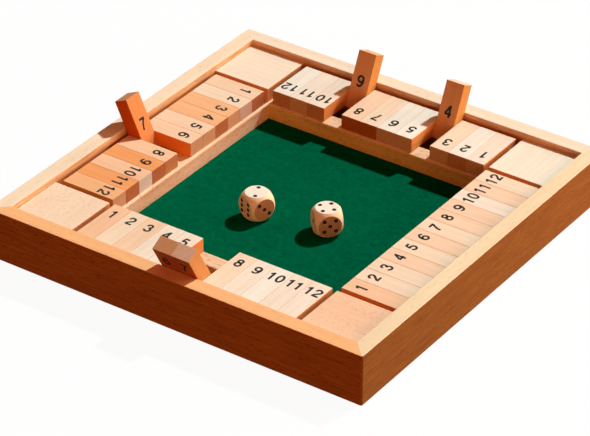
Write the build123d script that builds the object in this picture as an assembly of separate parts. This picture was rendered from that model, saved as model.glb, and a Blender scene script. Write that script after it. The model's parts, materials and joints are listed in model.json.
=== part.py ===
from build123d import *
import math
import os

# Four-player wooden game box: a mitred frame round a felt tray, with a row of numbered tiles
# along each side. Every tile flips over on a steel rod, from lying on the inner rail to
# leaning back on the frame. Millimetres, +Z up, origin at the middle of the underside.
# X runs along the front and back boards, Y along the left and right boards.

# Frame boards. The frame's side follows from the tiles, and is worked out below.
frame_height = 42.8
board_thickness = 13.3
board_edge_radius = 0.5
frame_corner_radius = 1.6

# Base board, held in a groove that runs round the four frame boards
base_thickness = 5.0
base_inset = 6.1
groove_depth = 5.0
groove_end_clearance = 0.5

# Felt sheet on the tray floor
felt_thickness = 1.2

# Tiles, one row on each side
tiles_per_row = 12
tile_width = 16.52
tile_length = 48.0
tile_thickness = 12.3
tile_edge_radius = 0.25
tile_side_gap = 0.14
tile_top_recess = 5.0
tile_wall_gap = 3.7
pivot_from_outer_end = 9.2
pivot_below_tile_middle = 0.45
row_end_gap = 4.54

# How much further from the wall a row and its rod sit, and which tiles stand raised
row_shift = {"front": 1.2, "right": 0.1, "back": 0.0, "left": 0.0}
raised_tiles = ("front_06", "front_07", "back_04", "back_09", "left_07")
stop_clearance = 0.3

# Pivot rods
rod_diameter = 4.0
rod_running_clearance = 0.08
rod_seat_clearance = 0.02
rod_seat_depth = 10.0

# Inner rails that carry the free ends of the tiles
rail_width = 15.0
rail_reveal = 2.4
rail_edge_radius = 1.4

# Corner blocks, which reach a little further in than the tiles' free ends
block_inner_overhang = 0.57
block_edge_radius = 0.6

# Dice: a cube rounded by a sphere, with drilled pips
die_size = 21.6
die_sphere_ratio = 0.655
pip_spacing = 4.45
pip_diameter = 3.5
pip_depth = 0.75

# Where each die came to rest: place on the felt, tumble about its left-right axis, which
# brings another value to the top, and turn about the vertical, in degrees
dice = {
    "die_near": {"x": 31.3, "y": -10.2, "tumble": 0.0, "turn": 48.0},
    "die_far": {"x": -25.4, "y": -22.6, "tumble": 90.0, "turn": 248.0},
}

# Worked out from the sizes above
tile_pitch = tile_width + tile_side_gap
row_half_length = (tiles_per_row * tile_pitch - tile_side_gap) / 2
block_inner = row_half_length + row_end_gap
tile_inner_end = block_inner + block_inner_overhang
inner_half = tile_inner_end + tile_length + tile_wall_gap
frame_side = 2 * (inner_half + board_thickness)
base_top = base_inset + base_thickness
felt_top = base_top + felt_thickness
tile_top = frame_height - tile_top_recess
tile_bottom = tile_top - tile_thickness
pivot_inset = tile_wall_gap + pivot_from_outer_end
pivot_height = tile_top - tile_thickness / 2 - pivot_below_tile_middle
rail_inner = tile_inner_end - rail_reveal
rail_outer = rail_inner + rail_width
rod_half_length = block_inner + rod_seat_depth
row_names = ("front", "right", "back", "left")
standing = (Align.CENTER, Align.CENTER, Align.MIN)


def row_turn(row):
    """Rotation that carries the front row to the named row."""
    return Rot(0, 0, 90 * row_names.index(row))


def pivot_distance(row):
    """Distance from the middle of the box to the rod of a row."""
    return inner_half - pivot_inset - row_shift[row]


def raised_angle(row):
    """Turn from flat to leaning on the top inner edge of the frame, in degrees.

    The tile's top face lies face_offset from the rod's axis. It meets the edge when the
    edge, seen from the rod, is as far from the tile's middle line as that face is.
    """
    edge_out = pivot_inset + row_shift[row]
    edge_up = frame_height - pivot_height
    face_offset = tile_top - pivot_height
    reach = math.hypot(edge_out, edge_up)
    lean = math.acos((face_offset + stop_clearance) / reach) - math.atan2(edge_up, edge_out)
    return 90 + math.degrees(lean)


def tile_name(row, number):
    """Name of a tile by its row and number, without the word tile."""
    return f"{row}_{number:02d}"


def tile_centre(number):
    """Place of a tile along its row, counted from 1."""
    return (number - (tiles_per_row + 1) / 2) * tile_pitch


def rounded_bar(length, width, height, radius):
    """Bar along X with its two top edges rounded, on the XY plane, centred in plan."""
    section = Rectangle(width, height, align=(Align.CENTER, Align.MIN))
    top_corners = section.vertices().group_by(Axis.Y)[-1]
    section = fillet(top_corners, radius)
    return extrude(Plane.YZ * section, length / 2, both=True)


def mitre_wedge(outer, height):
    """Triangular prism from the middle of the box to the front side, at 45 degrees."""
    outline = Polyline((0, 0), (-outer, -outer), (outer, -outer), close=True)
    return extrude(make_face(outline), height)


def base_board():
    """Plywood panel that fills the groove in the frame boards."""
    side = 2 * (inner_half + groove_depth - groove_end_clearance)
    return Pos(0, 0, base_inset) * Box(side, side, base_thickness, align=standing)


def frame_board(row):
    """One frame board, mitred at both ends and grooved for the base board."""
    bar = rounded_bar(frame_side, board_thickness, frame_height, board_edge_radius)
    bar = Pos(0, board_thickness / 2 - frame_side / 2, 0) * bar
    groove_side = 2 * (inner_half + groove_depth)
    groove = Pos(0, 0, base_inset) * Box(groove_side, groove_side, base_thickness, align=standing)
    plan = RectangleRounded(frame_side, frame_side, frame_corner_radius)
    board = bar & mitre_wedge(frame_side / 2, frame_height)
    board = (board & extrude(plan, frame_height)) - groove
    return row_turn(row) * board


def felt_sheet():
    """Felt cut to fit between the four inner rails."""
    side = 2 * rail_inner
    return Pos(0, 0, base_top) * Box(side, side, felt_thickness, align=standing)


def inner_rail(row):
    """One rail, mitred at both ends, standing on the base board under the tiles' free ends."""
    height = tile_bottom - base_top
    bar = rounded_bar(2 * rail_outer, rail_width, height, rail_edge_radius)
    bar = Pos(0, rail_width / 2 - rail_outer, 0) * bar
    rail = bar & mitre_wedge(rail_outer, height)
    return row_turn(row) * Pos(0, 0, base_top) * rail


def corner_block(row, rails):
    """Block at the right-hand end of a row, cut over the rails and bored for two rods."""
    size = inner_half - block_inner
    height = tile_top - base_top
    middle = block_inner + size / 2
    block = Box(size, size, height, align=standing)
    top_edges = block.edges().group_by(Axis.Z)[-1]
    block = fillet(top_edges, block_edge_radius)
    block = row_turn(row) * Pos(middle, -middle, base_top) * block
    next_row = row_names[(row_names.index(row) + 1) % len(row_names)]
    for rail in rails:
        block = block - rail
    for bored_row in (row, next_row):
        block = block - rod_along(bored_row, rod_diameter / 2 + rod_seat_clearance)
    return block


def rod_along(row, radius):
    """Round bar along a row's pivot line, ending inside the corner blocks."""
    bar = Rot(0, 90, 0) * Cylinder(radius, 2 * rod_half_length)
    return row_turn(row) * Pos(0, -pivot_distance(row), pivot_height) * bar


def plain_tile():
    """Flat tile about its own pivot: X along the row, +Y to the free end, bored for the rod."""
    face_offset = tile_top - pivot_height
    hung = (Align.CENTER, Align.MIN, Align.MAX)
    body = Box(tile_width, tile_length, tile_thickness, align=hung)
    body = fillet(body.edges(), tile_edge_radius)
    body = Pos(0, -pivot_from_outer_end, face_offset) * body
    bore = Rot(0, 90, 0) * Cylinder(rod_diameter / 2 + rod_running_clearance, 2 * tile_width)
    return body - bore


def placed_tile(row, number, blank):
    """A tile in its row, lying flat or leaning back on the frame."""
    turn = raised_angle(row) if tile_name(row, number) in raised_tiles else 0
    place = Pos(tile_centre(number), -pivot_distance(row), pivot_height) * Rot(turn, 0, 0)
    return row_turn(row) * place * blank


def pip_places(value):
    """Pip centres on a face that shows a value, as steps from the face's middle."""
    places = [(0, 0)] if value % 2 else []
    if value > 1:
        places += [(-1, 1), (1, -1)]
    if value > 3:
        places += [(-1, -1), (1, 1)]
    if value == 6:
        places += [(-1, 0), (1, 0)]
    return places


def die():
    """Die about its own middle, with 4 on top, 5 to the front and 1 to the left."""
    half = die_size / 2
    solid = Box(die_size, die_size, die_size) & Sphere(die_sphere_ratio * die_size)
    ball_radius = (pip_diameter**2 / 4 + pip_depth**2) / (2 * pip_depth)
    ball_out = half + ball_radius - pip_depth
    faces = {
        4: Rot(0, 0, 0),
        3: Rot(180, 0, 0),
        5: Rot(90, 0, 0),
        2: Rot(-90, 0, 0) * Rot(0, 0, 90),
        1: Rot(0, -90, 0),
        6: Rot(0, 90, 0),
    }
    for value, turn in faces.items():
        for step_x, step_y in pip_places(value):
            ball = Pos(step_x * pip_spacing, step_y * pip_spacing, ball_out) * Sphere(ball_radius)
            solid = solid - turn * ball
    return solid


def placed_die(name, blank):
    """A die on the felt, as it was thrown."""
    spot = dice[name]
    resting = Pos(spot["x"], spot["y"], felt_top + die_size / 2)
    return resting * Rot(0, 0, spot["turn"]) * Rot(spot["tumble"], 0, 0) * blank


def build():
    """Every node of the model, by name."""
    nodes = {"base_board": base_board(), "felt": felt_sheet()}
    rails = [inner_rail(row) for row in row_names]
    nodes["inner_rails"] = Compound(rails)
    nodes["corner_blocks"] = Compound([corner_block(row, rails) for row in row_names])
    nodes["pivot_rods"] = Compound([rod_along(row, rod_diameter / 2) for row in row_names])
    tile = plain_tile()
    for row in row_names:
        nodes[f"frame_{row}"] = frame_board(row)
        for number in range(1, tiles_per_row + 1):
            nodes[f"tile_{tile_name(row, number)}"] = placed_tile(row, number, tile)
    blank_die = die()
    for name in dice:
        nodes[name] = placed_die(name, blank_die)
    return nodes


os.makedirs("parts", exist_ok=True)
for node_name, shape in build().items():
    export_step(shape, f"parts/{node_name}.step")
print("frame side", round(frame_side, 3), "pivot height", round(pivot_height, 3))
for row in row_names:
    print(row, "pivot at", round(pivot_distance(row), 3), "turns", round(raised_angle(row), 2))
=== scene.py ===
"""Looks of a four-player shut the box game, in metres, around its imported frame.

Mitred beech boards hold a green felt tray. A row of numbered beech tiles along each side
turns on a drawn steel rod, and two wooden dice lie on the felt. X runs along the front
board, Y along the right one, and Z is up.
"""

import json
import logging
import math
from dataclasses import dataclass, field
from enum import Enum
from typing import Iterable

import bpy
from mathutils import Matrix, Vector


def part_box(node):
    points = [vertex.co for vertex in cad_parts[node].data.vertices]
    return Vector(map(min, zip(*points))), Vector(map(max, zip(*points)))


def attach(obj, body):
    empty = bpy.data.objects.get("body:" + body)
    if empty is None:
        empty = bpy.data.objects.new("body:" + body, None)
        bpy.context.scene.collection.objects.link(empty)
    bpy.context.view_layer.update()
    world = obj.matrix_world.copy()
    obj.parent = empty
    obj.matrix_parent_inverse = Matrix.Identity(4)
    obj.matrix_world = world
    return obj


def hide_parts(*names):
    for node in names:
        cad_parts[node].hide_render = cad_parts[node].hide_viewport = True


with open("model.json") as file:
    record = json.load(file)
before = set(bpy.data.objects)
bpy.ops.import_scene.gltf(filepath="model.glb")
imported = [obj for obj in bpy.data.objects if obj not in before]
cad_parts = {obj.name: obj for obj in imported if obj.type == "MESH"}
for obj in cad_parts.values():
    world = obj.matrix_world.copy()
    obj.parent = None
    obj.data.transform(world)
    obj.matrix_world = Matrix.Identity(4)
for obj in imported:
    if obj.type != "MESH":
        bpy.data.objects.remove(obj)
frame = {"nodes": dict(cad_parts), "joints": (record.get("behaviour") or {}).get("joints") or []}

Tree = bpy.types.NodeTree
Socket = bpy.types.NodeSocket
Piece = bpy.types.Object
Material = bpy.types.Material

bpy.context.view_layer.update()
MM = 0.001
QUARTER = math.pi / 2
log = logging.getLogger("shut_the_box")


# ---------------- helpers


def linear(hex_colour: str) -> tuple[float, float, float, float]:
    """Turns an sRGB hex colour into the linear one that a shader reads.

    Args:
        hex_colour: Six hex digits, red first.

    Returns:
        Linear red, green and blue, and an alpha of 1.
    """
    parts = [int(hex_colour[i : i + 2], 16) / 255 for i in (0, 2, 4)]
    curve = [c / 12.92 if c <= 0.04045 else ((c + 0.055) / 1.055) ** 2.4 for c in parts]
    return (*curve, 1.0)


def add_node(tree: Tree, kind: str, inputs: dict | None = None, **settings) -> bpy.types.Node:
    """Adds a shader node with its settings, values and links.

    Args:
        tree: The node tree that gets the node.
        kind: The node's type, without the word ShaderNode.
        inputs: Value or linked output for each input, by name or number.
        **settings: The node's own properties.

    Returns:
        The new node.
    """
    node = tree.nodes.new("ShaderNode" + kind)
    for name, value in settings.items():
        setattr(node, name, value)
    for key, value in (inputs or {}).items():
        if isinstance(value, Socket):
            tree.links.new(value, node.inputs[key])
        else:
            node.inputs[key].default_value = value
    return node


def new_material(name: str) -> tuple[Material, Tree]:
    """Makes an empty node material, and returns it with its node tree."""
    material = bpy.data.materials.new(name)
    material.use_nodes = True
    material.node_tree.nodes.clear()
    return material, material.node_tree


def dress(piece: Piece, material: Material) -> None:
    """Makes a material the only one on a piece, in its first slot."""
    if not piece.material_slots:
        piece.data.materials.append(material)
    for slot in piece.material_slots:
        slot.material = material


def deselect_all() -> None:
    """Leaves edit mode and deselects every object."""
    if bpy.context.object and bpy.context.object.mode != "OBJECT":
        bpy.ops.object.mode_set(mode="OBJECT")
    bpy.ops.object.select_all(action="DESELECT")


def choose(*pieces: Piece) -> None:
    """Selects these objects alone and makes the first one active."""
    deselect_all()
    for piece in pieces:
        piece.select_set(True)
    bpy.context.view_layer.objects.active = pieces[0]


def own_copy(piece: Piece, place: Matrix) -> Piece:
    """Copies a piece with a mesh of its own, and puts the copy at a place in the scene."""
    copy = piece.copy()
    copy.data = piece.data.copy()
    copy.matrix_world = place
    bpy.context.scene.collection.objects.link(copy)
    return copy


def join_as(name: str, pieces: list[Piece]) -> Piece:
    """Joins meshes into one object at the origin, with its place in its mesh.

    Args:
        name: The joined object's name.
        pieces: The objects to join.

    Returns:
        The joined object.
    """
    for piece in pieces:
        choose(piece)
        bpy.ops.object.transform_apply(location=True, rotation=True, scale=True)
    choose(*pieces)
    if len(pieces) > 1:
        bpy.ops.object.join()
    joined = bpy.context.object
    joined.name = name
    joined.data.name = name
    return joined


# ---------------- where things are


class Row(Enum):
    """The four rows of tiles, each a quarter turn from the one before."""

    FRONT = 0
    RIGHT = 1
    BACK = 2
    LEFT = 3

    @property
    def word(self) -> str:
        """The row's name as the CAD nodes have it."""
        return self.name.lower()

    @property
    def turn(self) -> float:
        """Turn about Z that carries the front row here, in radians."""
        return self.value * QUARTER


@dataclass(frozen=True)
class Lay:
    """Where a piece's own axes lie: x across the grain, y along it and z through the thickness."""

    origin: Vector
    turn: float = 0.0
    tilt: float = 0.0

    @property
    def matrix(self) -> Matrix:
        """Carries a point in the piece's own axes to the frame."""
        spin = Matrix.Rotation(self.turn, 4, "Z") @ Matrix.Rotation(self.tilt, 4, "X")
        return Matrix.Translation(self.origin) @ spin


def joint(name: str) -> dict:
    """The frame's joint of that name."""
    return next(j for j in frame["joints"] if j["name"] == name)


# ---------------- finishes


class Face(Enum):
    """Tones of planed beech on the wide faces, as face and edge colours.

    The edge tones are deeper and more saturated than the face tones: partly the wood's own
    tone, partly painted shade and painted warm bounce light on the narrow sides.
    """

    IVORY = ("F5F4E8", "EBA866")
    BONE = ("F5EBDA", "E9A362")
    CREAM = ("F5E2C8", "E79E5C")
    PALE = ("F5D8BA", "E69755")
    ROSE = ("F5CCA8", "E38A4A")
    # Painted bounce light: this bright orange edge tone is set for the side of the left row's tile 6 that its
    # raised neighbour uncovers.
    CORAL = ("F5D6B5", "FF9A46")
    HONEY = ("F4BF8E", "CF9A55")
    ORANGE = ("F1AA6E", "DC702C")
    AMBER = ("E0965A", "D8601E")
    # Painted shade: this dark face tone is set for the two raised front tiles, whose upper face leans out and
    # down, away from the lamps; lying flat, they still show it.
    EMBER = ("C87038", "D8A365")


class End(Enum):
    """Tones of sawn beech end grain."""

    ASH = "E6E9E8"
    SHELL = "DEC8BC"
    SAND = "DBB292"
    CLAY = "CF9568"
    UMBER = "C08058"
    PINK = "FADCBE"
    TAN = "E9B888"
    BROWN = "DA9B64"
    RUSSET = "C46A2E"


@dataclass(frozen=True)
class Finish:
    """What a surface is made of and how it was worked, as a node material."""

    name: str

    def make(self) -> Material:
        """Builds the node material."""
        material, tree = new_material(self.name)
        add_node(tree, "OutputMaterial", inputs={"Surface": self.shader(tree).outputs[0]})
        return material

    def shader(self, tree: Tree) -> bpy.types.Node:
        """Adds the nodes of this finish, and returns the one that shades it."""
        raise NotImplementedError


# Cells per millimetre of each beech pattern: across the grain, along it and through the piece.
# Real fibre is finer still, and wouldn't show.
DRIFT_CELLS = (0.07, 0.015, 0.07)
STREAK_CELLS = (0.7, 0.03, 0.7)
FIBRE_CELLS = (3.0, 0.16, 3.0)


@dataclass(frozen=True)
class PlanedBeech(Finish):
    """Planed and sanded beech.

    To the eye it is a pale, warm wood with faint long figure, short dark flecks along the
    grain and streaky end grain. Its narrow sides get deeper tones than its wide faces, partly
    the wood's own tone and partly painted shade and painted warm bounce light.
    """

    lay: Lay
    face: str
    edge: str
    end: str
    seed: float = 0.0
    figure: float = 0.35
    figure_tone: str = "D09A66"
    fleck: float = 0.25
    fleck_width: float = 1.0
    fleck_length: float = 5.0
    fleck_tone: str = "B07850"
    edge_streak: float = 0.0
    streak_tone: str = "A06030"
    end_figure: float = 0.35
    end_tone: str = "B87A50"
    ring_pitch: float = 5.0
    end_ring_pitch: float = 1.7
    facing_span: tuple = (0.35, 0.75)
    roughness: float = 0.55
    specular: float = 0.05

    def shader(self, tree: Tree) -> bpy.types.Node:
        """Adds the wood's tones, figure, flecks and fine relief."""
        own, normal = self._own_axes(tree)
        drift = self._noise(tree, own, DRIFT_CELLS, 2.0)
        streak = self._noise(tree, own, STREAK_CELLS, 4.0)
        fibre = self._noise(tree, own, FIBRE_CELLS, 2.0)
        rings = self._rings(tree, own, streak, self.ring_pitch)
        fleck = self._flecks(tree, own)
        flat = self._facing(tree, normal, 2)
        sawn = self._facing(tree, normal, 1)
        narrow = add_node(tree, "Math", operation="SUBTRACT", inputs={0: 1.0, 1: flat}).outputs[0]
        streaked = add_node(tree, "Math", operation="MULTIPLY", inputs={0: streak, 1: narrow}).outputs[0]
        end_rings = self._rings(tree, own, fibre, self.end_ring_pitch)
        ringed = add_node(tree, "Math", operation="MULTIPLY", inputs={0: end_rings, 1: sawn}).outputs[0]
        # The deeper edge tones are partly painted shade and painted warm bounce light on the narrow sides.
        colour = self._faces(tree, own, flat, sawn)
        for pattern, share in ((drift, 1.1), (rings, 0.5), (streak, 0.45), (fibre, 0.3)):
            colour = self._darken(tree, colour, pattern, share * self.figure, self.figure_tone)
        colour = self._darken(tree, colour, streaked, self.edge_streak, self.streak_tone)
        colour = self._darken(tree, colour, ringed, self.end_figure, self.end_tone)
        colour = self._darken(tree, colour, fleck, self.fleck, self.fleck_tone)
        grain = add_node(tree, "Math", operation="ADD", inputs={0: fibre, 1: fleck}).outputs[0]
        bump = add_node(tree, "Bump", inputs={"Strength": 0.25, "Distance": 0.05 * MM, "Height": grain})
        look = {"Base Color": colour, "Roughness": self.roughness, "IOR": 1.5}
        look |= {"Specular IOR Level": self.specular, "Normal": bump.outputs[0]}
        return add_node(tree, "BsdfPrincipled", inputs=look)

    def _own_axes(self, tree: Tree) -> tuple[Socket, Socket]:
        """Place in millimetres and surface normal, both along the piece's own axes."""
        place = add_node(tree, "TexCoord").outputs
        turned = {"Rotation": (self.lay.tilt, 0.0, self.lay.turn)}
        own = add_node(
            tree, "Mapping", vector_type="TEXTURE",
            inputs={"Vector": place["Object"], "Location": self.lay.origin, "Scale": (MM,) * 3, **turned},
        )
        normal = add_node(
            tree, "Mapping", vector_type="TEXTURE", inputs={"Vector": place["Normal"], **turned}
        )
        return own.outputs[0], normal.outputs[0]

    def _stretch(self, tree: Tree, own: Socket, scale: tuple) -> Socket:
        """The piece's own coordinates, scaled per axis and moved to this piece's part of the pattern."""
        shift = (self.seed * 7.3, self.seed * 3.1, self.seed * 5.7)
        part = {"Vector": own, "Scale": scale, "Location": shift}
        return add_node(tree, "Mapping", inputs=part).outputs[0]

    def _noise(self, tree: Tree, own: Socket, scale: tuple, detail: float) -> Socket:
        """Noise with that many cells per millimetre along each of the piece's axes."""
        place = self._stretch(tree, own, scale)
        noise = add_node(
            tree, "TexNoise", inputs={"Vector": place, "Scale": 1.0, "Detail": detail, "Roughness": 0.6}
        )
        spread = {"From Min": 0.3, "From Max": 0.7}
        return add_node(tree, "MapRange", inputs={"Value": noise.outputs[0], **spread}).outputs[0]

    def _facing(self, tree: Tree, normal: Socket, axis: int) -> Socket:
        """1 where the surface faces along one of the piece's own axes, and 0 across it."""
        along = add_node(tree, "SeparateXYZ", inputs={0: normal}).outputs[axis]
        size = add_node(tree, "Math", operation="ABSOLUTE", inputs={0: along}).outputs[0]
        steep = {"From Min": self.facing_span[0], "From Max": self.facing_span[1]}
        return add_node(tree, "MapRange", inputs={"Value": size, **steep}).outputs[0]

    def _rings(self, tree: Tree, own: Socket, warp: Socket, pitch: float) -> Socket:
        """Growth rings about a pith line that lies along the grain, some way outside the piece.

        Args:
            tree: The material's node tree.
            own: Place along the piece's own axes.
            warp: A pattern that bends the rings a little.
            pitch: Distance from ring to ring in millimetres.

        Returns:
            The rings' strength, from 0 to 1.
        """
        pith = (35.0 + 9.0 * math.sin(self.seed), 0.0, 28.0 + 12.0 * math.cos(1.7 * self.seed))
        moved = add_node(tree, "VectorMath", operation="ADD", inputs={0: own, 1: pith}).outputs[0]
        across = {0: moved, 1: (1.0, 0.0, 1.0)}
        flat = add_node(tree, "VectorMath", operation="MULTIPLY", inputs=across).outputs[0]
        reach = add_node(tree, "VectorMath", operation="LENGTH", inputs={0: flat}).outputs["Value"]
        bend = {0: warp, 1: 0.8, 2: reach}
        bent = add_node(tree, "Math", operation="MULTIPLY_ADD", inputs=bend).outputs[0]
        turns = {0: bent, 1: 2 * math.pi / pitch}
        phase = add_node(tree, "Math", operation="MULTIPLY", inputs=turns).outputs[0]
        wave = add_node(tree, "Math", operation="SINE", inputs={0: phase}).outputs[0]
        whole = {"Value": wave, "From Min": -1.0, "From Max": 1.0}
        return add_node(tree, "MapRange", inputs=whole).outputs[0]

    def _flecks(self, tree: Tree, own: Socket) -> Socket:
        """Short ray flecks, one to a cell, drawn wider than real ones so that they show."""
        cell_share = 1.7
        cell_width = cell_share * self.fleck_width
        scale = (1 / cell_width, 1 / (cell_share * self.fleck_length), 1 / cell_width)
        place = self._stretch(tree, own, scale)
        cells = add_node(tree, "TexVoronoi", inputs={"Vector": place, "Scale": 1.0, "Randomness": 1.0})
        dash = {"From Min": 0.36, "From Max": 0.16}
        near = add_node(tree, "MapRange", inputs={"Value": cells.outputs["Distance"], **dash}).outputs[0]
        chance = add_node(tree, "SeparateColor", inputs={0: cells.outputs["Color"]}).outputs[0]
        return add_node(tree, "Math", operation="MULTIPLY", inputs={0: near, 1: chance}).outputs[0]

    def _faces(self, tree: Tree, own: Socket, flat: Socket, sawn: Socket) -> Socket:
        """Face colour where flat is 1, end colour where sawn is 1 and edge colour elsewhere."""
        colour = self._edge_colour(tree, own)
        for share, tone in ((flat, self._face_colour(tree)), (sawn, linear(self.end))):
            stage = {0: share, 6: colour, 7: tone}
            colour = add_node(tree, "Mix", data_type="RGBA", inputs=stage).outputs[2]
        return colour

    def _face_colour(self, tree: Tree) -> object:
        """The wide faces' colour, the same all over a piece."""
        return linear(self.face)

    def _edge_colour(self, tree: Tree, own: Socket) -> object:
        """The narrow faces' colour, the same all over a piece."""
        return linear(self.edge)

    def _darken(self, tree: Tree, colour: Socket, pattern: Socket, share: float, tone: str) -> Socket:
        """Deepens a colour where a pattern is strong.

        Args:
            tree: The material's node tree.
            colour: The colour so far.
            pattern: Strength of the pattern, from 0 to 1.
            share: How much of the colour the full pattern takes.
            tone: The hex colour that the full pattern multiplies by.

        Returns:
            The deepened colour.
        """
        amount = add_node(tree, "Math", operation="MULTIPLY", inputs={0: pattern, 1: share}).outputs[0]
        return add_node(
            tree, "Mix", data_type="RGBA", blend_type="MULTIPLY",
            inputs={0: amount, 6: colour, 7: linear(tone)},
        ).outputs[2]


@dataclass(frozen=True)
class BoardBeech(PlanedBeech):
    """Beech of a frame board, with painted shade on the outside.

    To the eye the outside is deeper than the top and the inside, a painted shade, with dark
    flecks along the grain, and the inside is painted a deeper orange in the gap behind the
    tiles, a painted shade that stands in for the little warm light that reaches it.
    """

    inner: str = "FFD0A0"
    # Painted shade: the inside below the tiles' tops turns to this deeper orange, standing in for the warm
    # light bounced into the gap.
    gap_tone: str = "FFB064"
    gap_top: float = 16.6
    gap_blend: float = 1.6
    outside_span: tuple = (6.0, 6.5)
    top_fleck: float = 0.3

    def _flecks(self, tree: Tree, own: Socket) -> Socket:
        """Ray flecks that show on the outside and hardly on the top and inside."""
        flecks = super()._flecks(tree, own)
        x = add_node(tree, "SeparateXYZ", inputs={0: own}).outputs[0]
        outside = {"From Min": self.outside_span[0], "From Max": self.outside_span[1]}
        outside |= {"Value": x, "To Min": self.top_fleck}
        share = add_node(tree, "MapRange", inputs=outside).outputs[0]
        return add_node(tree, "Math", operation="MULTIPLY", inputs={0: flecks, 1: share}).outputs[0]

    def _edge_colour(self, tree: Tree, own: Socket) -> Socket:
        """The outside's colour, which is painted shade, and the inside's, which turns to a painted orange
        shade below the tiles' tops.
        """
        x, _, z = add_node(tree, "SeparateXYZ", inputs={0: own}).outputs
        # Painted shade: the outside faces get the deeper outside tone.
        outside = add_node(tree, "Math", operation="GREATER_THAN", inputs={0: x, 1: 0.0}).outputs[0]
        # Painted shade: below the tiles' tops the inside blends into the deeper orange.
        span = {"From Min": self.gap_top, "From Max": self.gap_top - self.gap_blend}
        deep = add_node(tree, "MapRange", inputs={"Value": z, **span}).outputs[0]
        colour = linear(self.inner)
        for share, tone in ((deep, self.gap_tone), (outside, self.edge)):
            stage = {0: share, 6: colour, 7: linear(tone)}
            colour = add_node(tree, "Mix", data_type="RGBA", inputs=stage).outputs[2]
        return colour


@dataclass(frozen=True)
class CrossedBeech(PlanedBeech):
    """Beech of a node whose pieces don't all lie the same way.

    To the eye the grain of each piece has its own direction.
    """

    def _own_axes(self, tree: Tree) -> tuple[Socket, Socket]:
        """Turns the grain a quarter on the pieces whose length runs the other way."""
        own, normal = super()._own_axes(tree)
        crosswise = self._crosswise(tree, own)
        turned = []
        for vector in (own, normal):
            spin = {"Vector": vector, "Rotation": (0, 0, QUARTER)}
            quarter = add_node(tree, "Mapping", inputs=spin).outputs[0]
            mixed = add_node(tree, "Mix", data_type="VECTOR", inputs={0: crosswise, 4: vector, 5: quarter})
            turned.append(mixed.outputs[1])
        return turned[0], turned[1]

    def _crosswise(self, tree: Tree, place: Socket) -> Socket:
        """1 on the pieces that lie crosswise, and 0 on the others."""
        raise NotImplementedError


@dataclass(frozen=True)
class CornerBeech(CrossedBeech):
    """Beech of the four corner blocks, which are one node.

    To the eye each block has a grain direction and, on top, a tone of its own.
    """

    front_right: str = "F5CEAC"
    back_left: str = "F6E8D2"
    back_right: str = "F5EFDC"
    back_fleck: float = 0.1

    def _crosswise(self, tree: Tree, place: Socket) -> Socket:
        """1 on two blocks that lie across from each other, and 0 on the other two."""
        x, y, _ = add_node(tree, "SeparateXYZ", inputs={0: place}).outputs
        product = add_node(tree, "Math", operation="MULTIPLY", inputs={0: x, 1: y}).outputs[0]
        return add_node(tree, "Math", operation="LESS_THAN", inputs={0: product, 1: 0.0}).outputs[0]

    def _flecks(self, tree: Tree, own: Socket) -> Socket:
        """Ray flecks that show on the front blocks and hardly on the back ones."""
        flecks = super()._flecks(tree, own)
        place = add_node(tree, "TexCoord").outputs["Object"]
        y = add_node(tree, "SeparateXYZ", inputs={0: place}).outputs[1]
        middle = {"Value": y, "From Min": 0.01, "From Max": -0.01, "To Min": self.back_fleck}
        share = add_node(tree, "MapRange", inputs=middle).outputs[0]
        return add_node(tree, "Math", operation="MULTIPLY", inputs={0: flecks, 1: share}).outputs[0]

    def _face_colour(self, tree: Tree) -> Socket:
        """One tone for each corner of the box, with the face tone at the front left."""
        place = add_node(tree, "TexCoord").outputs["Object"]
        x, y, _ = add_node(tree, "SeparateXYZ", inputs={0: place}).outputs
        right = add_node(tree, "Math", operation="GREATER_THAN", inputs={0: x, 1: 0.0}).outputs[0]
        back = add_node(tree, "Math", operation="GREATER_THAN", inputs={0: y, 1: 0.0}).outputs[0]
        pairs = []
        for tones in ((self.face, self.front_right), (self.back_left, self.back_right)):
            pair = {0: right, 6: linear(tones[0]), 7: linear(tones[1])}
            pairs.append(add_node(tree, "Mix", data_type="RGBA", inputs=pair).outputs[2])
        return add_node(tree, "Mix", data_type="RGBA", inputs={0: back, 6: pairs[0], 7: pairs[1]}).outputs[2]


@dataclass(frozen=True)
class RailBeech(CrossedBeech):
    """Beech of the four inner rails, which are one node.

    The back rail's upright face, which stands in shade, gets a yellower tone than those of the other three, a
    painted shade colour set for how it looks in that shade.
    """

    other_edge: str = "FBDCC0"

    def _crosswise(self, tree: Tree, place: Socket) -> Socket:
        """1 on the front and back rails, and 0 on the left and right ones."""
        x, y, _ = add_node(tree, "SeparateXYZ", inputs={0: place}).outputs
        size_x = add_node(tree, "Math", operation="ABSOLUTE", inputs={0: x}).outputs[0]
        size_y = add_node(tree, "Math", operation="ABSOLUTE", inputs={0: y}).outputs[0]
        return add_node(tree, "Math", operation="GREATER_THAN", inputs={0: size_y, 1: size_x}).outputs[0]

    def _edge_colour(self, tree: Tree, own: Socket) -> Socket:
        """The upright faces' colour, with the edge tone, a painted shade colour, on the back rail alone."""
        place = add_node(tree, "TexCoord").outputs["Object"]
        x, y, _ = add_node(tree, "SeparateXYZ", inputs={0: place}).outputs
        size_x = add_node(tree, "Math", operation="ABSOLUTE", inputs={0: x}).outputs[0]
        # Painted shade: the back rail, whose upright face stands in shade, gets its own tone.
        back = add_node(tree, "Math", operation="GREATER_THAN", inputs={0: y, 1: size_x}).outputs[0]
        tones = {0: back, 6: linear(self.other_edge), 7: linear(self.edge)}
        return add_node(tree, "Mix", data_type="RGBA", inputs=tones).outputs[2]


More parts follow.
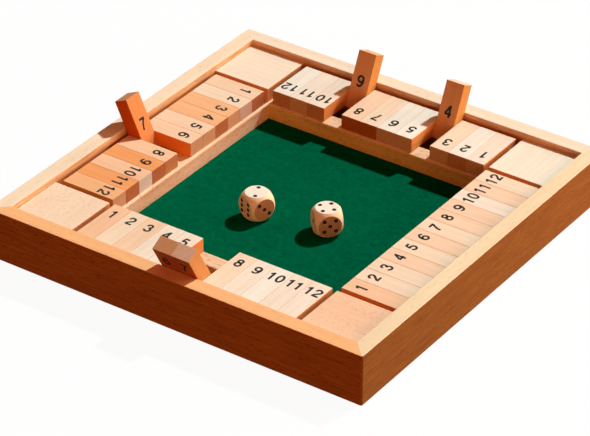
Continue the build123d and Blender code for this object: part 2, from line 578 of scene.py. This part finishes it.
@dataclass(frozen=True)
class TumbledMaple(PlanedBeech):
    """Maple of a die, cut to a cube and then tumbled until its corners are round.

    The round corners are painted paler than the flat discs, a painted highlight for the light they catch.
    """

    # Painted highlight: the round corners are paler than the flat discs for the light they catch.
    rounding: str = "FFE8C4"
    facing_span: tuple = (0.96, 0.99)

    def _faces(self, tree: Tree, own: Socket, flat: Socket, sawn: Socket) -> Socket:
        """The round corners' painted highlight colour, and one colour for each pair of flat discs."""
        _, normal = self._own_axes(tree)
        side = self._facing(tree, normal, 0)
        colour = linear(self.rounding)
        for share, tone in ((side, self.edge), (sawn, self.end), (flat, self.face)):
            disc = {0: share, 6: colour, 7: linear(tone)}
            colour = add_node(tree, "Mix", data_type="RGBA", inputs=disc).outputs[2]
        return colour


@dataclass(frozen=True)
class NeedledFelt(Finish):
    """Needled wool felt.

    To the eye it is a dull deep green with soft, slightly lighter tufts where the fibres
    stand up, and no gloss. Fibres and lint are drawn as coarse as they need to show.
    """

    name: str = "needled_felt"
    deep: str = "004C2F"
    light: str = "006445"
    lint: str = "2C8A66"
    tuft: float = 5.0
    fibre: float = 0.8
    speck: float = 1.76

    def shader(self, tree: Tree) -> bpy.types.Node:
        """Adds clouds of tufts, single fibres, specks of lint and a soft relief."""
        place = add_node(tree, "TexCoord").outputs["Object"]
        clouds = {"Vector": place, "Scale": 1 / (self.tuft * MM), "Detail": 5.0, "Roughness": 0.65}
        cloud = add_node(tree, "TexNoise", inputs=clouds | {"Distortion": 0.6}).outputs[0]
        hairs = {"Vector": place, "Scale": 1 / (self.fibre * MM), "Detail": 3.0}
        hair = add_node(tree, "TexNoise", inputs=hairs).outputs[0]
        both = {0: hair, 1: 0.35, 2: cloud}
        tufted = add_node(tree, "Math", operation="MULTIPLY_ADD", inputs=both).outputs[0]
        specks = {"Vector": place, "Scale": 1 / (self.speck * MM), "Detail": 2.0, "Distortion": 2.5}
        speck = add_node(tree, "TexNoise", inputs=specks).outputs[0]
        colour = linear(self.deep)
        for pattern, low, high, tone in ((tufted, 0.4, 0.95, self.light), (speck, 0.66, 0.8, self.lint)):
            spread = {"Value": pattern, "From Min": low, "From Max": high}
            share = add_node(tree, "MapRange", inputs=spread).outputs[0]
            layer = {0: share, 6: colour, 7: linear(tone)}
            colour = add_node(tree, "Mix", data_type="RGBA", inputs=layer).outputs[2]
        bump = add_node(tree, "Bump", inputs={"Strength": 0.6, "Distance": 0.25 * MM, "Height": tufted})
        look = {"Base Color": colour, "Roughness": 1.0, "Specular IOR Level": 0.0, "Normal": bump.outputs[0]}
        return add_node(tree, "BsdfPrincipled", inputs=look)


@dataclass(frozen=True)
class DrawnSteel(Finish):
    """Drawn steel rod: a cool grey metal with faint drawing marks, coarse enough to show."""

    name: str = "drawn_steel"
    colour: str = "B9BABD"
    mark: float = 0.4

    def shader(self, tree: Tree) -> bpy.types.Node:
        """Adds the metal and the marks that its roughness follows."""
        place = add_node(tree, "TexCoord").outputs["Object"]
        fine = {"Vector": place, "Scale": 1 / (self.mark * MM), "Detail": 2.0}
        marks = add_node(tree, "TexNoise", inputs=fine).outputs[0]
        gloss = {"Value": marks, "To Min": 0.25, "To Max": 0.42}
        rough = add_node(tree, "MapRange", inputs=gloss).outputs[0]
        look = {"Base Color": linear(self.colour), "Metallic": 1.0, "Roughness": rough}
        return add_node(tree, "BsdfPrincipled", inputs=look)


@dataclass(frozen=True)
class PrintedInk(Finish):
    """Screen-printed ink: a flat brown-black, a little uneven where the wood drinks it."""

    dark: str = "17100C"
    worn: str = "2E221A"
    grain: float = 0.8

    def shader(self, tree: Tree) -> bpy.types.Node:
        """Adds the ink and its paler patches."""
        place = add_node(tree, "TexCoord").outputs["Object"]
        patches = {"Vector": place, "Scale": 1 / (self.grain * MM), "Detail": 3.0}
        patch = add_node(tree, "TexNoise", inputs=patches).outputs[0]
        tones = {0: patch, 6: linear(self.dark), 7: linear(self.worn)}
        colour = add_node(tree, "Mix", data_type="RGBA", inputs=tones).outputs[2]
        look = {"Base Color": colour, "Roughness": 0.6, "Specular IOR Level": 0.2}
        return add_node(tree, "BsdfPrincipled", inputs=look)


# ---------------- numerals


@dataclass(frozen=True)
class Line:
    """A straight stretch of a stroke."""

    length: float


@dataclass(frozen=True)
class Arc:
    """A round stretch of a stroke, turning left by a positive angle in degrees."""

    radius: float
    angle: float


@dataclass(frozen=True)
class Stroke:
    """One stroke of a digit: where it starts, which way it heads and the stretches it goes through."""

    x: float
    y: float
    heading: float
    path: tuple


@dataclass
class NumeralSet:
    """Plain sans-serif digits, drawn with a flat pen whose strokes are one width.

    Lengths are shares of the digit's height, which is 1 while a digit is drawn.
    """

    pen: float = 0.185
    advance: float = 0.72
    digit_width: float = 0.62
    thickness: float = 0.006
    steps_per_turn: int = 40
    digits: dict = field(default_factory=dict)

    def strokes(self, digit: str) -> tuple:
        """The strokes of a digit, on a base line at y 0 and with the cap line at y 1."""
        top = 1 - self.pen / 2
        side = Arc(0.695, 29.4)
        end = Arc(0.17, 121.2)
        return {
            "0": (Stroke(0.5475, 0.5, 90, (side, end, Arc(0.695, 58.8), end, side)),),
            "1": (
                Stroke(0.31, 0.0, 90, (Line(1.0),)),
                Stroke(0.275, 0.885, 214, (Line(0.245),)),
            ),
            "2": (
                Stroke(0.075, 0.70, 90, (Arc(0.2275, -225), Line(0.39), Arc(0.27, 45))),
                Stroke(0.036, self.pen / 2, 0, (Line(0.55),)),
            ),
            "3": (
                Stroke(0.093, 0.70, 100, (Arc(0.195, -280),)),
                Stroke(0.285, 0.5385, 0, (Arc(0.233, -260),)),
            ),
            "4": (
                Stroke(0.445, 0.0, 90, (Line(1.0),)),
                Stroke(0.02, 0.2925, 0, (Line(0.59),)),
                Stroke(0.085, 0.345, 60.3, (Line(0.62),)),
            ),
            "5": (
                Stroke(0.14, top, 0, (Line(0.41),)),
                Stroke(0.185, 0.86, 262, (Line(0.40),)),
                Stroke(0.1168, 0.4907, 45, (Arc(0.245, -305),)),
            ),
            "6": (
                Stroke(0.55, 0.3175, 90, (Arc(0.24, 360),)),
                Stroke(0.07, 0.3175, 90, (Line(0.17), Arc(0.52, -50), Arc(0.17, -120))),
            ),
            "7": (
                Stroke(0.03, top, 0, (Line(0.57),)),
                Stroke(0.555, 0.875, 228, (Arc(1.46, 38),)),
            ),
            "8": (
                Stroke(0.5, 0.735, 90, (Arc(0.19, 360),)),
                Stroke(0.5425, 0.305, 90, (Arc(0.2325, 360),)),
            ),
            "9": (
                Stroke(0.07, 0.6825, -90, (Arc(0.24, 360),)),
                Stroke(0.55, 0.6825, -90, (Line(0.17), Arc(0.52, -50), Arc(0.17, -120))),
            ),
        }[digit]

    def draw_stroke(self, stroke: Stroke) -> Piece:
        """Sweeps the pen's edge along a stroke, by extrude and spin, into a flat mesh at z 0."""
        nib = 0.02
        heading = math.radians(stroke.heading)
        forward = Vector((math.cos(heading), math.sin(heading), 0))
        at = Vector((stroke.x, stroke.y, 0)) + forward * nib
        deselect_all()
        bpy.ops.mesh.primitive_plane_add(size=1, location=at - forward * nib / 2, rotation=(0, 0, heading))
        bpy.ops.transform.resize(value=(nib, self.pen, 1), orient_type="LOCAL")
        bpy.ops.object.transform_apply(location=True, rotation=True, scale=True)
        piece = bpy.context.object
        bpy.ops.object.mode_set(mode="EDIT")
        for part in stroke.path:
            self._choose_leading_edge(piece, at, forward)
            if isinstance(part, Line):
                reach = forward * (part.length - nib if part is stroke.path[0] else part.length)
                bpy.ops.mesh.extrude_region_move(TRANSFORM_OT_translate={"value": reach})
                at = at + reach
            else:
                side = math.copysign(1, part.angle)
                centre = at + Vector((-forward.y, forward.x, 0)) * part.radius * side
                angle = math.radians(part.angle)
                steps = max(2, round(abs(part.angle) / 360 * self.steps_per_turn))
                bpy.ops.mesh.spin(steps=steps, angle=-angle, center=centre, axis=(0, 0, 1))
                turn = Matrix.Rotation(angle, 3, "Z")
                at = centre + turn @ (at - centre)
                forward = turn @ forward
        bpy.ops.mesh.select_all(action="SELECT")
        bpy.ops.mesh.remove_doubles(threshold=0.001)
        bpy.ops.mesh.normals_make_consistent(inside=False)
        bpy.ops.object.mode_set(mode="OBJECT")
        return piece

    def _choose_leading_edge(self, piece: Piece, at: Vector, forward: Vector) -> None:
        """Selects the two corners of the pen's edge, which lie half a pen's width either side of it."""
        bpy.ops.mesh.select_mode(type="VERT")
        bpy.ops.mesh.select_all(action="DESELECT")
        bpy.ops.object.mode_set(mode="OBJECT")
        sideways = Vector((-forward.y, forward.x, 0)) * self.pen / 2
        for corner in (at + sideways, at - sideways):
            nearest = min(piece.data.vertices, key=lambda v: (v.co - corner).length)
            nearest.select = True
        bpy.ops.object.mode_set(mode="EDIT")

    def digit(self, figure: str) -> Piece:
        """Draws a digit once, and keeps it as the pattern that its copies are made from."""
        if figure not in self.digits:
            drawn = join_as(f"digit_{figure}", [self.draw_stroke(s) for s in self.strokes(figure)])
            choose(drawn)
            solid = drawn.modifiers.new("thickness", "SOLIDIFY")
            solid.thickness = self.thickness
            solid.offset = 0.0
            bpy.ops.object.modifier_apply(modifier=solid.name)
            self.digits[figure] = drawn
        return self.digits[figure]

    def number(self, value: int, height: float, place: Matrix) -> list[Piece]:
        """Copies the digits of a number, centred on a place.

        Args:
            value: The number.
            height: The digits' height in metres.
            place: The number's middle, with x to its right and y to its top.

        Returns:
            One object for each digit.
        """
        figures = str(value)
        width = self.advance * (len(figures) - 1) + self.digit_width
        copies = []
        for index, figure in enumerate(figures):
            corner = Vector((index * self.advance - width / 2, -0.5, 0))
            spot = place @ Matrix.Scale(height, 4) @ Matrix.Translation(corner)
            copies.append(own_copy(self.digit(figure), spot))
        return copies

    def put_away(self) -> None:
        """Removes the patterns once every number is made."""
        for pattern in self.digits.values():
            bpy.data.objects.remove(pattern)
        self.digits.clear()


# ---------------- sub-assemblies


@dataclass
class TileRows:
    """The four rows of numbered tiles, with a number on the top and underside of each."""

    per_row: int = 12
    digit_height: float = 10.0 * MM
    top_from_free_end: float = 12.5 * MM
    under_from_free_end: float = 24.0 * MM
    ink_lift: float = 0.02 * MM
    # Tones of the tiles 1 to 12 of each row. The two dark faces of the front row's raised tiles are painted
    # shade, and the bright orange edge of the left row's tile 6 is painted bounce light.
    faces: dict = field(
        default_factory=lambda: {
            Row.FRONT: "ROSE CREAM PALE BONE BONE EMBER EMBER CREAM BONE IVORY BONE BONE",
            Row.RIGHT: "ROSE CREAM CREAM PALE CREAM PALE CREAM PALE PALE BONE PALE CREAM",
            Row.BACK: "BONE IVORY CREAM HONEY IVORY IVORY CREAM PALE HONEY BONE BONE IVORY",
            Row.LEFT: "PALE CREAM HONEY HONEY PALE CORAL AMBER ROSE ORANGE ROSE ORANGE HONEY",
        }
    )
    ends: dict = field(
        default_factory=lambda: {
            Row.FRONT: "TAN TAN TAN TAN TAN TAN PINK TAN TAN TAN TAN TAN",
            Row.RIGHT: "TAN " * 12,
            Row.BACK: "TAN BROWN TAN PINK TAN TAN RUSSET RUSSET TAN BROWN TAN BROWN",
            Row.LEFT: "UMBER SHELL SAND UMBER SAND SAND CLAY CLAY UMBER ASH UMBER SAND",
        }
    )
    numerals: NumeralSet = field(default_factory=NumeralSet)

    def lay(self, row: Row, number: int) -> Lay:
        """A tile's own axes, from its pivot: y toward its free end and z out of its top face."""
        hinge = joint(f"flip_{row.word}_{number:02d}")
        return Lay(Vector(hinge["pos_m"]), row.turn, math.radians(-hinge["range_deg"][0]))

    def reach(self) -> tuple[float, float, float]:
        """How far the free end, top and underside of a tile that lies flat are from its pivot."""
        low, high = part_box("tile_front_01")
        _, pivot_y, pivot_z = joint("flip_front_01")["pos_m"]
        return high.y - pivot_y, high.z - pivot_z, pivot_z - low.z

    def build(self) -> None:
        """Dresses every tile and prints its two numbers."""
        ink = PrintedInk("printed_ink").make()
        for row in Row:
            faces = self.faces[row].split()
            ends = self.ends[row].split()
            for number in range(1, self.per_row + 1):
                name = f"{row.word}_{number:02d}"
                lay = self.lay(row, number)
                seed = 1.0 + row.value * self.per_row + number
                face, edge = Face[faces[number - 1]].value
                end = End[ends[number - 1]].value
                beech = PlanedBeech(
                    f"sanded_beech_{name}", lay, face, edge, end, seed=seed, figure=0.14, fleck=0.06
                )
                dress(frame["nodes"][f"tile_{name}"], beech.make())
                painted = self.print_numbers(name, number, lay)
                dress(painted, ink)
                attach(painted, name)
            log.info("row %s: %d tiles dressed and numbered", row.word, self.per_row)
        self.numerals.put_away()

    def print_numbers(self, name: str, number: int, lay: Lay) -> Piece:
        """Makes the numbers on a tile's top and underside, both upright with the free end up.

        Args:
            name: The tile's row and number.
            number: The number to print.
            lay: Where the tile's own axes lie.

        Returns:
            One mesh that holds both numbers.
        """
        free_end, above, below = self.reach()
        top = Matrix.Translation((0, free_end - self.top_from_free_end, above + self.ink_lift))
        under = Matrix.Translation((0, free_end - self.under_from_free_end, -below - self.ink_lift))
        under = under @ Matrix.Rotation(math.pi, 4, "Y")
        pieces = self.numerals.number(number, self.digit_height, lay.matrix @ top)
        pieces += self.numerals.number(number, self.digit_height, lay.matrix @ under)
        return join_as(f"number_{name}", pieces)


@dataclass
class Case:
    """The mitred frame boards, corner blocks, inner rails, base board and rods."""

    # Tones of each board's top, outside and inside. The outside tones are painted shade, and the back and
    # left insides are painted lighter than the front and right ones, painted light.
    board_tones: dict = field(
        default_factory=lambda: {
            Row.FRONT: ("F6BE87", "CB7E20", "E8CC9F"),
            Row.RIGHT: ("F0DFBA", "A26E25", "E8CC9F"),
            Row.BACK: ("F4E6CE", "BE7A30", "FFD0A0"),
            Row.LEFT: ("F6E4C8", "BE7A30", "F4D9AB"),
        }
    )

    def build(self) -> None:
        """Dresses the boards, blocks, rails and base."""
        for row in Row:
            node = f"frame_{row.word}"
            low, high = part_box(node)
            face, edge, inner = self.board_tones[row]
            lay = Lay((low + high) / 2, row.turn - QUARTER)
            # The outside tone is painted shade; the inside turns to a painted orange shade below the tiles'
            # tops.
            beech = BoardBeech(
                f"oiled_beech_{row.word}", lay, face, edge, end=edge, inner=inner, seed=75.5 + row.value,
                figure=0.1, fleck=0.6, fleck_length=4.0, fleck_tone="5A2C12", edge_streak=0.55, roughness=0.5,
            )
            dress(frame["nodes"][node], beech.make())
            log.info("%s dressed", node)
        middle = Lay(Vector((0, 0, 0)))
        blocks = CornerBeech(
            "sanded_beech_blocks", middle, face="F4DDC2", edge="E8AA72", end="E8AA72", seed=81.0,
            figure=0.1, fleck=0.5, fleck_width=0.62, fleck_length=3.0, fleck_tone="BC9470",
        )
        dress(frame["nodes"]["corner_blocks"], blocks.make())
        # The back rail's upright tone is a painted shade colour, set for the shade that face stands in.
        rails = RailBeech(
            "sanded_beech_rails", middle, face="FBE0BE", edge="FFD47A", end="FBDDB4", seed=83.0,
            figure=0.3, fleck=0.7, fleck_width=0.62, fleck_length=3.4, fleck_tone="8A5A3C",
        )
        dress(frame["nodes"]["inner_rails"], rails.make())
        base = PlanedBeech("plain_plywood", middle, face="D8B68C", edge="C79C6C", end="C79C6C", seed=85.0)
        dress(frame["nodes"]["base_board"], base.make())
        dress(frame["nodes"]["pivot_rods"], DrawnSteel().make())
        log.info("blocks, rails, base and rods dressed")


@dataclass
class FeltSheet:
    """The felt on the tray floor, a thin sheet with a soft uneven top."""

    cells: int = 150
    unevenness: float = 0.25 * MM
    tuft: float = 7.0 * MM

    def build(self) -> None:
        """Models the sheet in the space of its plain solid."""
        low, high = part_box("felt")
        size = high - low
        middle = (low + high) / 2
        deselect_all()
        bpy.ops.mesh.primitive_grid_add(
            x_subdivisions=self.cells, y_subdivisions=self.cells, size=size.x,
            location=(middle.x, middle.y, high.z - self.unevenness),
        )
        sheet = bpy.context.object
        sheet.name = "felt_sheet"
        bpy.ops.object.transform_apply(location=True, rotation=True, scale=True)
        tufts = bpy.data.textures.new("tufts", "CLOUDS")
        tufts.noise_scale = self.tuft
        tufts.noise_depth = 3
        uneven = sheet.modifiers.new("unevenness", "DISPLACE")
        uneven.texture = tufts
        uneven.strength = self.unevenness
        uneven.mid_level = 0.5
        bpy.ops.object.modifier_apply(modifier=uneven.name)
        solid = sheet.modifiers.new("thickness", "SOLIDIFY")
        solid.thickness = size.z - 2 * self.unevenness
        solid.offset = -1.0
        bpy.ops.object.modifier_apply(modifier=solid.name)
        bpy.ops.object.shade_smooth_by_angle(angle=math.radians(40))
        dress(sheet, NeedledFelt().make())
        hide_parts("felt")
        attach(sheet, "box")
        log.info("felt sheet laid")


@dataclass
class Dice:
    """The two dice and the ink in their drilled pips."""

    size: float = 21.6 * MM
    pip_diameter: float = 3.5 * MM
    pip_depth: float = 0.75 * MM
    pip_spacing: float = 4.45 * MM
    ink_thickness: float = 0.04 * MM
    # Tumble about the left-right axis and turn about the vertical, in degrees
    tumbles: dict = field(default_factory=lambda: {"die_near": (0.0, 48.0), "die_far": (90.0, 248.0)})

    def build(self) -> None:
        """Dresses both dice and inks their pips."""
        ink = PrintedInk("pip_ink", dark="120C0A", worn="241812").make()
        dot = self.dot()
        for index, (name, (tumble, turn)) in enumerate(self.tumbles.items()):
            low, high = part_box(name)
            lay = Lay((low + high) / 2, math.radians(turn), math.radians(tumble))
            # The disc tones follow the die's turn but not its tumble, so the disc on top at rest gets the
            # palest tone and the side discs deeper ones: partly end grain, partly painted shade on the sides
            # that face away from the lamps.
            upright = Lay(lay.origin, lay.turn)
            wood = TumbledMaple(
                f"tumbled_maple_{name}", upright, face="F6F4E6", edge="FAD8B4", end="C49A74",
                seed=91.0 + index, figure=0.15, fleck=0.05, roughness=0.4, specular=0.2,
            )
            dress(frame["nodes"][name], wood.make())
            pips = self.pips(name, lay, dot)
            dress(pips, ink)
            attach(pips, name)
            log.info("%s dressed and its pips inked", name)
        bpy.data.objects.remove(dot)

    def dot(self) -> Piece:
        """The skin of ink in one pip: an open bowl with its rim at the origin's height."""
        ball = (self.pip_diameter**2 / 4 + self.pip_depth**2) / (2 * self.pip_depth)
        skin = ball - self.ink_thickness
        deselect_all()
        bpy.ops.mesh.primitive_uv_sphere_add(
            segments=28, ring_count=28, radius=skin, location=(0, 0, ball - self.pip_depth)
        )
        bpy.ops.object.transform_apply(location=True, rotation=True, scale=True)
        bowl = bpy.context.object
        bpy.ops.object.mode_set(mode="EDIT")
        bpy.ops.mesh.select_all(action="SELECT")
        bpy.ops.mesh.bisect(
            plane_co=(0, 0, -self.ink_thickness), plane_no=(0, 0, 1), clear_outer=True, use_fill=False
        )
        bpy.ops.mesh.select_all(action="SELECT")
        bpy.ops.mesh.flip_normals()
        bpy.ops.object.mode_set(mode="OBJECT")
        bpy.ops.object.shade_smooth()
        return bowl

    def pip_steps(self, value: int) -> Iterable[tuple[int, int]]:
        """Pip places on the face that shows a value, as steps from its middle."""
        if value % 2:
            yield (0, 0)
        if value > 1:
            yield from ((-1, 1), (1, -1))
        if value > 3:
            yield from ((-1, -1), (1, 1))
        if value == 6:
            yield from ((-1, 0), (1, 0))

    def pips(self, name: str, lay: Lay, dot: Piece) -> Piece:
        """Copies the ink into every pip of a die.

        Args:
            name: The die's node.
            lay: Where the die's own axes lie.
            dot: The ink of one pip.

        Returns:
            One mesh that holds the ink of all the pips.
        """
        faces = {
            4: Matrix.Identity(4),
            3: Matrix.Rotation(2 * QUARTER, 4, "X"),
            5: Matrix.Rotation(QUARTER, 4, "X"),
            2: Matrix.Rotation(-QUARTER, 4, "X") @ Matrix.Rotation(QUARTER, 4, "Z"),
            1: Matrix.Rotation(-QUARTER, 4, "Y"),
            6: Matrix.Rotation(QUARTER, 4, "Y"),
        }
        copies = []
        for value, face in faces.items():
            for step_x, step_y in self.pip_steps(value):
                spot = Vector((step_x * self.pip_spacing, step_y * self.pip_spacing, self.size / 2))
                copies.append(own_copy(dot, lay.matrix @ face @ Matrix.Translation(spot)))
        return join_as(f"pips_{name}", copies)


# ---------------- studio


def add_lamp(kind: str, place: Vector, power: float, colour: str) -> bpy.types.Light:
    """Adds a lamp that points at the origin, and returns its data."""
    deselect_all()
    bpy.ops.object.light_add(type=kind, location=place)
    lamp = bpy.context.object
    lamp.rotation_euler = place.to_track_quat("Z", "Y").to_euler()
    lamp.data.energy = power
    lamp.data.color = linear(colour)[:3]
    return lamp.data


@dataclass(frozen=True)
class Sun:
    """A large lamp a long way off.

    The azimuth runs from +X toward +Y, the softness is how wide the lamp looks from the
    object, and a power of 3.14 fully lights a surface that is square to it. Angles are in
    degrees.
    """

    azimuth: float
    elevation: float
    power: float
    softness: float
    colour: str

    def shine(self) -> None:
        """Adds the lamp."""
        turn = math.radians(self.azimuth)
        rise = math.radians(self.elevation)
        level = math.cos(rise)
        toward = Vector((math.cos(turn) * level, math.sin(turn) * level, math.sin(rise)))
        lamp = add_lamp("SUN", toward * 3, self.power, self.colour)
        lamp.angle = math.radians(self.softness)


@dataclass
class Studio:
    """A white floor, a key lamp behind, two low warm lamps on the right, a dim fill and the camera."""

    floor_size: float = 12.0
    key: Sun = Sun(azimuth=75.4, elevation=47.9, power=3.5, softness=3.0, colour="EDFFFF")
    side: Sun = Sun(azimuth=-30.0, elevation=12.0, power=1.0, softness=40.0, colour="FFAE78")
    window_place: tuple = (0.9, 0.75, 0.13)
    window_size: float = 0.8
    window_power: float = 17.3
    window_colour: str = "FFCEB3"
    fill_colour: str = "FF8946"
    fill_power: float = 0.24
    floor_bounce: str = "3A1A0C"
    floor_seen: float = 0.9
    floor_white: float = 0.95
    camera_place: tuple = (1.1612, -1.6887, 1.3156)
    camera_aim: tuple = (0.0279, -0.0481, 0.0428)
    camera_roll: float = 0.17
    camera_lens: float = 192.1
    camera_sensor: float = 36.0

    def build(self) -> None:
        """Sets up the light, floor and camera."""
        scene = bpy.context.scene
        scene.view_settings.view_transform = "Standard"
        self.key.shine()
        self.side.shine()
        self.window()
        self.floor()
        self.world()
        self.camera()
        log.info("studio ready")

    def window(self) -> None:
        """Adds a square lamp near the right-hand side, which lights the near end of it least."""
        lamp = add_lamp("AREA", Vector(self.window_place), self.window_power, self.window_colour)
        lamp.size = self.window_size

    def seen(self, tree: Tree) -> Socket:
        """1 for a camera, glossy or transmission ray, and 0 for light that falls on a surface."""
        path = add_node(tree, "LightPath").outputs
        seen = path["Is Camera Ray"]
        for ray in ("Is Glossy Ray", "Is Transmission Ray"):
            either = {0: seen, 1: path[ray]}
            seen = add_node(tree, "Math", operation="MAXIMUM", inputs=either).outputs[0]
        return seen

    def floor(self) -> None:
        """A white floor that keeps the object's shadow, and throws back little light."""
        deselect_all()
        bpy.ops.mesh.primitive_plane_add(size=self.floor_size)
        floor = bpy.context.object
        floor.name = "studio_floor"
        material, tree = new_material("matt_white_floor")
        seen = self.seen(tree)
        colour = add_node(
            tree, "Mix", data_type="RGBA",
            inputs={0: seen, 6: linear(self.floor_bounce), 7: (*[self.floor_seen] * 3, 1.0)},
        ).outputs[2]
        matt = add_node(tree, "BsdfDiffuse", inputs={"Color": colour})
        white = add_node(tree, "Emission", inputs={"Color": (1, 1, 1, 1), "Strength": 1.0})
        share = add_node(tree, "Math", operation="MULTIPLY", inputs={0: seen, 1: self.floor_white}).outputs[0]
        mixed = add_node(tree, "MixShader", inputs={0: share, 1: matt.outputs[0], 2: white.outputs[0]})
        add_node(tree, "OutputMaterial", inputs={"Surface": mixed.outputs[0]})
        dress(floor, material)

    def world(self) -> None:
        """White where it is seen, and a warm dim fill where it lights the wood."""
        world = bpy.data.worlds.new("studio")
        bpy.context.scene.world = world
        world.use_nodes = True
        tree = world.node_tree
        tree.nodes.clear()
        seen = self.seen(tree)
        warm = {"Color": linear(self.fill_colour), "Strength": self.fill_power}
        fill = add_node(tree, "Background", inputs=warm)
        white = add_node(tree, "Background", inputs={"Color": (1, 1, 1, 1), "Strength": 1.0})
        mixed = add_node(tree, "MixShader", inputs={0: seen, 1: fill.outputs[0], 2: white.outputs[0]})
        add_node(tree, "OutputWorld", inputs={"Surface": mixed.outputs[0]})

    def camera(self) -> None:
        """The camera at the photograph's angle."""
        place = Vector(self.camera_place)
        ahead = Vector(self.camera_aim) - place
        deselect_all()
        bpy.ops.object.camera_add(location=place)
        camera = bpy.context.object
        level = ahead.to_track_quat("-Z", "Y").to_matrix()
        roll = Matrix.Rotation(math.radians(self.camera_roll), 3, "Z")
        camera.rotation_euler = (level @ roll).to_euler()
        camera.data.lens = self.camera_lens
        camera.data.sensor_width = self.camera_sensor
        bpy.context.scene.camera = camera


def main() -> None:
    """Builds the looks of the whole game and the studio round it."""
    Case().build()
    TileRows().build()
    FeltSheet().build()
    Dice().build()
    Studio().build()


if __name__ == "__main__":
    logging.basicConfig(level=logging.INFO)
    main()
